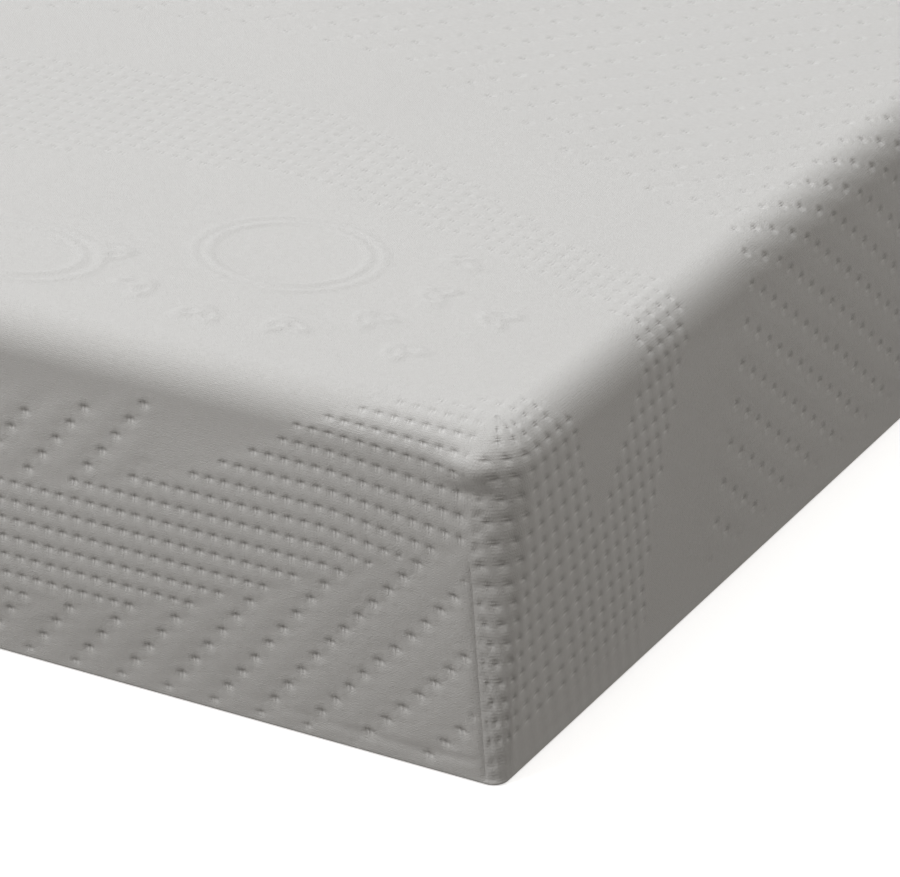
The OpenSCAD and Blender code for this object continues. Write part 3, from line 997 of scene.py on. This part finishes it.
def make_label(satin, white):
    """A blank satin label, sewn down along its top edge and lifting a little at its foot."""
    across = np.linspace(LABEL_LOW[1], LABEL_HIGH[1], 40)
    heights = np.linspace(LABEL_HIGH[2], LABEL_LOW[2], 56)
    hang = (LABEL_HIGH[2] - heights)[:, None] / (LABEL_HIGH[2] - LABEL_LOW[2])
    curl = 0.75 + 1.6 * hang ** 2 * (0.6 + 0.4 * np.sin((across[None, :] - LABEL_LOW[1]) / 6.5))
    front, normals = label_points(across, heights, curl)
    piece = grid_object("label", [as_grid(front, facing(grid_normals(front), normals), 0 * front)])
    thick = piece.modifiers.new("thickness", "SOLIDIFY")
    thick.thickness = 0.35 * MM
    thick.offset = -1
    dress(piece, "satin_label", satin, "care_label")
    y = np.arange(LABEL_LOW[1] + 1.5, LABEL_HIGH[1] - 3.5, 3.1)
    line = label_points(y, np.array([LABEL_HIGH[2] - 2.5]), 0.75)[0][0]
    line_end = label_points(y + 2.3, np.array([LABEL_HIGH[2] - 2.5]), 0.75)[0][0]
    row = stitches("label_stitches", line, line_end, np.array([-1.0, 0, 0]) + 0 * line, 0.25)
    dress(row, "stitch_thread", white)


def keep_node(node, material, edge=None):
    """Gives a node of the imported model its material, and eases its edges where it is hard."""
    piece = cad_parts[node]
    piece.data.materials.clear()
    piece.data.materials.append(material)
    if edge:
        weld = piece.modifiers.new("weld", "WELD")
        weld.merge_threshold = 0.00001
        ease = piece.modifiers.new("edges", "BEVEL")
        ease.width = edge * MM
        ease.segments = 3
        ease.limit_method = "ANGLE"
        ease.angle_limit = math.radians(35)
        ease.harden_normals = True


# ---------------------------------------------------------------- stage

def make_floor():
    material, tree, shader = new_material("floor", (0.93, 0.93, 0.93), 0.9)
    cloud = noise(tree, position(tree), 1.5, 2)
    paint(tree, shader, blend_colour(tree, cloud, (0.925, 0.925, 0.925), (0.94, 0.94, 0.94)))
    size = 30
    points = np.array([(-size, -size, 0), (size, -size, 0), (size, size, 0), (-size, size, 0)], float) / MM
    points[:, 2] = -0.4
    floor = mesh_object("floor", points, [np.array([[0, 1, 2, 3]])])
    floor.data.materials.append(material)
    floor.visible_diffuse = False
    shader.inputs["Emission Color"].default_value = (1, 1, 1, 1)
    shader.inputs["Emission Strength"].default_value = 0.6


def area_light(name, place, target, size, power, colour=(1, 1, 1)):
    light = bpy.data.lights.new(name, "AREA")
    light.shape = "RECTANGLE"
    light.size, light.size_y = size
    light.energy = power
    light.color = colour
    holder = bpy.data.objects.new(name, light)
    holder.location = place
    holder.rotation_euler = (Vector(target) - Vector(place)).to_track_quat("-Z", "Y").to_euler()
    bpy.context.scene.collection.objects.link(holder)


def make_lights():
    area_light("top_softbox", (-1.2, -0.6, 3.3), (0, -0.3, 0), (4.6, 4.6), 114, (0.95, 0.974, 1.0))
    area_light("front_softbox", (-1.6, -3.6, 3.0), (0, -0.9, 0.1), (1.6, 1.6), 76, (1.0, 0.972, 0.945))
    area_light("right_softbox", (2.6, -0.2, 3.2), (0.45, -0.6, 0.1), (1.4, 1.4), 28, (1.0, 0.965, 0.92))
    area_light("back_softbox", (-0.6, 4.4, 1.3), (0, 0.9, 0.1), (1.8, 1.4), 42, (1.0, 0.985, 0.965))
    world = bpy.data.worlds.new("studio")
    world.use_nodes = True
    background = world.node_tree.nodes["Background"]
    background.inputs["Color"].default_value = (1.0, 0.94, 0.87, 1)
    background.inputs["Strength"].default_value = 0.2
    bpy.context.scene.world = world
    bpy.context.scene.view_settings.view_transform = "Standard"


def make_camera():
    """Looks down on the right front corner through a long lens."""
    pitch = math.radians(25.528)
    yaw = math.radians(26.167)
    roll = math.radians(2.312)
    from_corner = Vector((0.8813, -1.8509, 1.1296))
    ahead = Vector((-math.sin(yaw) * math.cos(pitch), math.cos(yaw) * math.cos(pitch), -math.sin(pitch)))
    level = Vector((math.cos(yaw), math.sin(yaw), 0))
    upright = level.cross(ahead)
    right = level * math.cos(roll) + upright * math.sin(roll)
    up = upright * math.cos(roll) - level * math.sin(roll)
    lens = bpy.data.cameras.new("camera")
    lens.sensor_width = 36
    lens.lens = 240
    lens.clip_start = 0.05
    lens.clip_end = 100
    camera = bpy.data.objects.new("camera", lens)
    turn = Matrix((right, up, -ahead)).transposed().to_4x4()
    corner = Vector((WIDTH / 2, -LENGTH / 2, 0)) * MM
    camera.matrix_world = Matrix.Translation(corner + from_corner) @ turn
    bpy.context.scene.collection.objects.link(camera)
    bpy.context.scene.camera = camera


def make_mattress():
    knit_cover = knit("cover_knit", (0.6, 0.6, 0.595))
    make_cover(knit_cover)
    make_base(woven("base_cloth", (0.2, 0.197, 0.193), 0.0011))
    tape = woven("zip_tape", (0.30, 0.30, 0.298), 0.0007, 0.8)
    make_tapes(tape)
    make_coils(nylon("zip_coil", (0.33, 0.33, 0.33)))
    white = thread("stitch_thread", (0.62, 0.62, 0.61))
    make_zip_stitching(white)
    make_label(woven("satin_label", (0.85, 0.85, 0.84), 0.0009, 0.38, sheen=0.5), white)
    plated = metal("zip_metal", (0.62, 0.62, 0.63))
    for node in ("zip_slider", "zip_pull_tab", "zip_stop_closed_end", "zip_stop_open_end"):
        keep_node(node, plated, edge=0.2)
    keep_node("reflex_core", foam("reflex_foam", (0.62, 0.59, 0.48), 0.0013))
    keep_node("memory_foam_layer", foam("memory_foam", (0.74, 0.72, 0.62), 0.0008))
    keep_node("inner_sock", woven("sock_knit", (0.7, 0.7, 0.69), 0.0008))
    overlock = thread("overlock_thread", (0.6, 0.6, 0.59), 0.0015)
    for node in ("corner_seam_front_right", "corner_seam_front_left", "corner_seam_back_right",
                 "corner_seam_back_left", "base_overlock_seam"):
        keep_node(node, overlock)


make_mattress()
make_floor()
make_lights()
make_camera()
